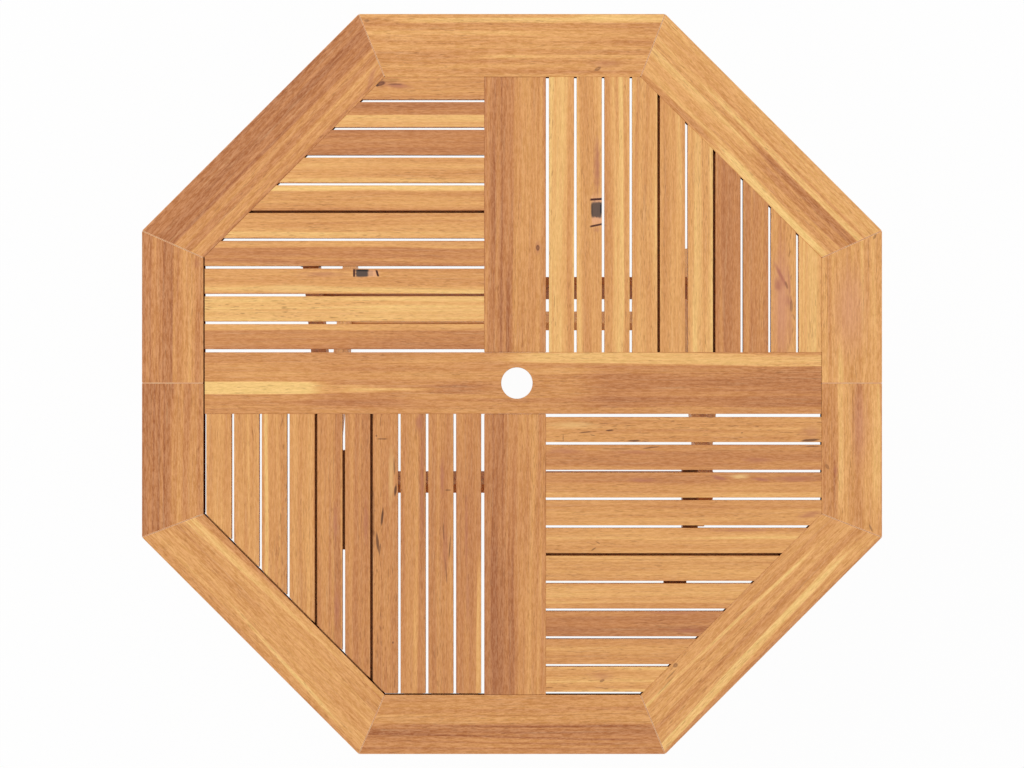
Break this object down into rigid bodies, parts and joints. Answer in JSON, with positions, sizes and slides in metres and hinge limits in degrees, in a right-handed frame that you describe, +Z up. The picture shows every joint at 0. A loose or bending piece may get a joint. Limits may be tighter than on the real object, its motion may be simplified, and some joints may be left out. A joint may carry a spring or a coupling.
{
  "type": "folding garden table",
  "caption": "Octagonal slatted wooden garden table with a parasol hole; its crossed leg frames fold flat and carry a top that tilts.",
  "frame": {"origin": "on the floor under the middle of the octagonal top", "axes": "+Z up; +X along the cross board and the leg pivots; +Y towards the side of the top that stays low over the outer legs' pivots"},
  "size_m": [1.2, 1.2, 0.75],
  "materials": {
    "frame_wood": "oiled acacia, fine sanded, satin",
    "board_wood": "oiled acacia, fine sanded, satin",
    "slat_wood": "oiled acacia, fine sanded, satin, each slat in its own tone",
    "under_wood": "darker oiled acacia, plain sawn",
    "leg_wood_dark": "dark heartwood, oiled",
    "leg_wood_light": "lighter acacia, oiled",
    "joinery_wood": "plain beech, unfinished",
    "black_steel": "black powder coat",
    "zinc_steel": "zinc plated"
  },
  "bodies": {
    "outer_legs": {"outer_leg_left": "leg_wood_dark", "outer_leg_right": "leg_wood_dark", "outer_top_rail": "leg_wood_dark", "outer_stretcher": "leg_wood_dark", "outer_rail_screws": "zinc_steel", "cross_bolts": "black_steel", "cross_washers": "zinc_steel", "cross_nuts": "zinc_steel"},
    "top": {"frame_top": "frame_wood", "frame_upper_right": "frame_wood", "frame_right_upper": "frame_wood", "frame_right_lower": "frame_wood", "frame_lower_right": "frame_wood", "frame_bottom": "frame_wood", "frame_lower_left": "frame_wood", "frame_left_lower": "frame_wood", "frame_left_upper": "frame_wood", "frame_upper_left": "frame_wood", "cross_board": "board_wood", "spine_board_upper": "board_wood", "spine_board_lower": "board_wood", "slats_upper_left": "slat_wood", "slats_upper_right": "slat_wood", "slats_lower_left": "slat_wood", "slats_lower_right": "slat_wood", "batten_upper_left": "under_wood", "batten_lower_right": "under_wood", "batten_upper_right_inner": "under_wood", "batten_upper_right_outer": "under_wood", "batten_lower_left_inner": "under_wood", "batten_lower_left_outer": "under_wood", "pivot_rail": "under_wood", "cleat_left": "under_wood", "cleat_right": "under_wood", "stop_block": "under_wood", "mitre_splines": "joinery_wood", "board_dowels": "joinery_wood", "seam_plates": "black_steel", "seam_plate_screws": "zinc_steel", "batten_screws": "zinc_steel", "cleat_screws": "zinc_steel", "pivot_bracket_left": "black_steel", "pivot_bracket_right": "black_steel", "pivot_bracket_screws": "zinc_steel", "pivot_bolts": "black_steel"},
    "inner_legs": {"inner_leg_left": "leg_wood_light", "inner_leg_right": "leg_wood_light", "inner_top_rail": "leg_wood_light", "inner_stretcher": "leg_wood_light", "inner_rail_screws": "zinc_steel"}
  },
  "joints": [
    {"name": "top_tilt", "type": "hinge", "parent": "outer_legs", "child": "top", "pos_m": [0.008, 0.205, 0.664], "axis": [-1, 0, 0], "range_deg": [0, 123.8]},
    {"name": "inner_legs_fold", "type": "hinge", "parent": "outer_legs", "child": "inner_legs", "pos_m": [0.008, 0.01282, 0.37725], "axis": [-1, 0, 0], "range_deg": [0, 63.4]}
  ],
  "couplings": [
    {"joint": "inner_legs_fold", "follows": "top_tilt", "ratio": 0.512}
  ]
}
